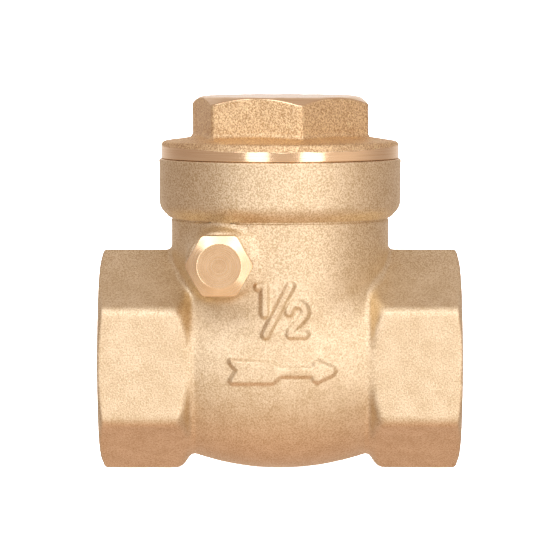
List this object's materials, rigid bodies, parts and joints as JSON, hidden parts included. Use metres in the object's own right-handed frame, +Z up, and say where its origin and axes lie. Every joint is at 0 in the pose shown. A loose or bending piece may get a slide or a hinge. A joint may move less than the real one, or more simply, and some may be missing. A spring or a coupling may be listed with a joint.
{
  "type": "swing check valve",
  "caption": "Brass swing check valve with female pipe threads in hexagon ends, a screwed bonnet cap and a hinged disc that lets flow through one way only.",
  "frame": {"origin": "centre of the inlet port's mouth, on the flow axis", "axes": "+X along the flow from inlet to outlet, +Z up to the bonnet, -Y the side with the hinge pin plug"},
  "size_m": [0.05, 0.0364, 0.0518],
  "materials": {
    "cast_brass": "sandblasted",
    "forged_brass": "sandblasted, with a turned rim",
    "machined_brass": "bright turned",
    "stainless_steel": "ground",
    "nitrile_rubber": "matte",
    "ptfe": "satin",
    "copper": "satin"
  },
  "bodies": {
    "body": {"valve_body": "cast_brass", "hinge_pin": "stainless_steel"},
    "hanger": {"disc_hanger": "cast_brass"},
    "disc": {"disc_holder": "machined_brass", "seat_disc": "nitrile_rubber", "seat_disc_washer": "stainless_steel", "seat_disc_nut": "machined_brass", "hanger_washer": "stainless_steel", "hanger_nut": "machined_brass"},
    "bonnet_lifter": {"bonnet_gasket": "ptfe"},
    "bonnet": {"bonnet_cap": "forged_brass"},
    "plug_lifter": {"plug_seal_washer": "copper"},
    "plug": {"hinge_pin_plug": "machined_brass"}
  },
  "joints": [
    {"name": "disc_swing", "type": "hinge", "parent": "body", "child": "hanger", "pos_m": [0.0168, 0, 0.0141], "axis": [0, -1, 0], "range_deg": [0, 64]},
    {"name": "disc_spin", "type": "hinge", "parent": "hanger", "child": "disc", "pos_m": [0.0213, 0, 0], "axis": [1, 0, 0], "continuous": true},
    {"name": "bonnet_lift", "type": "slide", "parent": "body", "child": "bonnet_lifter", "axis": [0, 0, 1], "range_m": [0, 0.006]},
    {"name": "bonnet_turn", "type": "hinge", "parent": "bonnet_lifter", "child": "bonnet", "pos_m": [0.025, 0, 0.03], "axis": [0, 0, 1], "range_deg": [0, 1440]},
    {"name": "plug_lift", "type": "slide", "parent": "body", "child": "plug_lifter", "axis": [0, -1, 0], "range_m": [0, 0.0035]},
    {"name": "plug_turn", "type": "hinge", "parent": "plug_lifter", "child": "plug", "pos_m": [0.0168, -0.016, 0.0141], "axis": [0, -1, 0], "range_deg": [0, 1260]}
  ],
  "couplings": [
    {"joint": "bonnet_lift", "follows": "bonnet_turn", "m_per_rad": 0.00023873},
    {"joint": "plug_lift", "follows": "plug_turn", "m_per_rad": 0.00015915}
  ]
}
